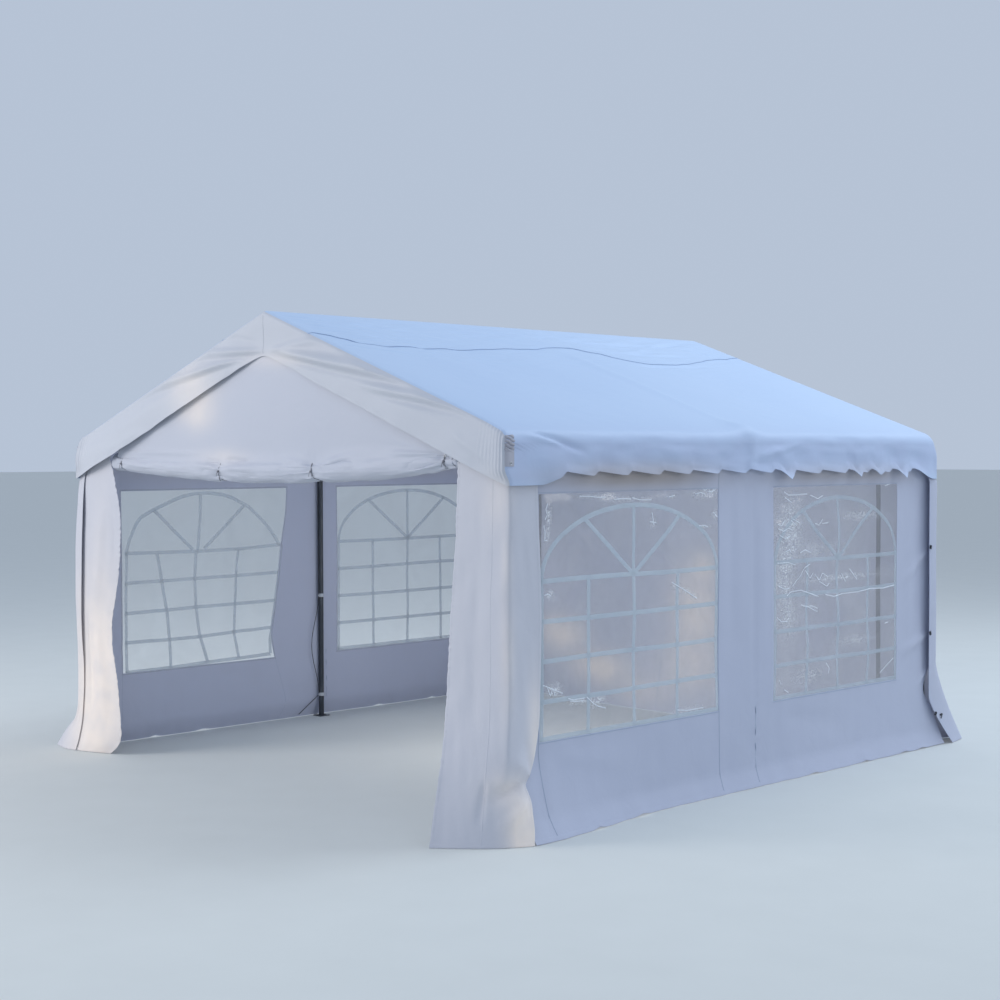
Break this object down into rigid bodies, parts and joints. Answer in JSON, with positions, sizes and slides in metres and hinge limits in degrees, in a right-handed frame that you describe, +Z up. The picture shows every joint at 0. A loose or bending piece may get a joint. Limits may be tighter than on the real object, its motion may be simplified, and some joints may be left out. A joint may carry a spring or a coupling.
{
  "type": "marquee tent",
  "caption": "Ridged marquee tent on a tube frame with foot plates, clear-film side windows, a closed back wall and a front door rolled up under the gable.",
  "frame": {"origin": "on the ground, in the middle of the plan between the six legs", "axes": "+X to the right along the front gable, +Y from the front gable to the back wall, +Z up"},
  "size_m": [4.2176, 4.6309, 2.7899],
  "materials": {
    "cover_sheet": "white coated woven sheet, matt with a faint sheen",
    "frame_steel": "dark grey powder coat, satin",
    "window_film": "clear soft film, glossy and slightly crinkled",
    "tie_cord": "dark braided cord"
  },
  "bodies": {
    "root": {"leg_front_left": "frame_steel", "rafter_front_left": "frame_steel", "eave_fitting_front_left": "frame_steel", "leg_front_right": "frame_steel", "rafter_front_right": "frame_steel", "eave_fitting_front_right": "frame_steel", "ridge_fitting_front": "frame_steel", "leg_middle_left": "frame_steel", "rafter_middle_left": "frame_steel", "eave_fitting_middle_left": "frame_steel", "leg_middle_right": "frame_steel", "rafter_middle_right": "frame_steel", "eave_fitting_middle_right": "frame_steel", "ridge_fitting_middle": "frame_steel", "leg_back_left": "frame_steel", "rafter_back_left": "frame_steel", "eave_fitting_back_left": "frame_steel", "leg_back_right": "frame_steel", "rafter_back_right": "frame_steel", "eave_fitting_back_right": "frame_steel", "ridge_fitting_back": "frame_steel", "eave_tube_front_left": "frame_steel", "window_film_front_left": "window_film", "eave_tube_front_right": "frame_steel", "window_film_front_right": "window_film", "ridge_tube_front": "frame_steel", "gable_band_front": "cover_sheet", "eave_tube_back_left": "frame_steel", "window_film_back_left": "window_film", "eave_tube_back_right": "frame_steel", "window_film_back_right": "window_film", "ridge_tube_back": "frame_steel", "gable_band_back": "cover_sheet", "roof_sheet_left": "cover_sheet", "valance_left": "cover_sheet", "side_wall_left": "cover_sheet", "front_strip_left": "cover_sheet", "leg_cord_left": "tie_cord", "roof_sheet_right": "cover_sheet", "valance_right": "cover_sheet", "side_wall_right": "cover_sheet", "front_strip_right": "cover_sheet", "leg_cord_right": "tie_cord", "gable_panel_front": "cover_sheet", "rolled_door": "cover_sheet", "back_wall": "cover_sheet"}
  },
  "joints": []
}
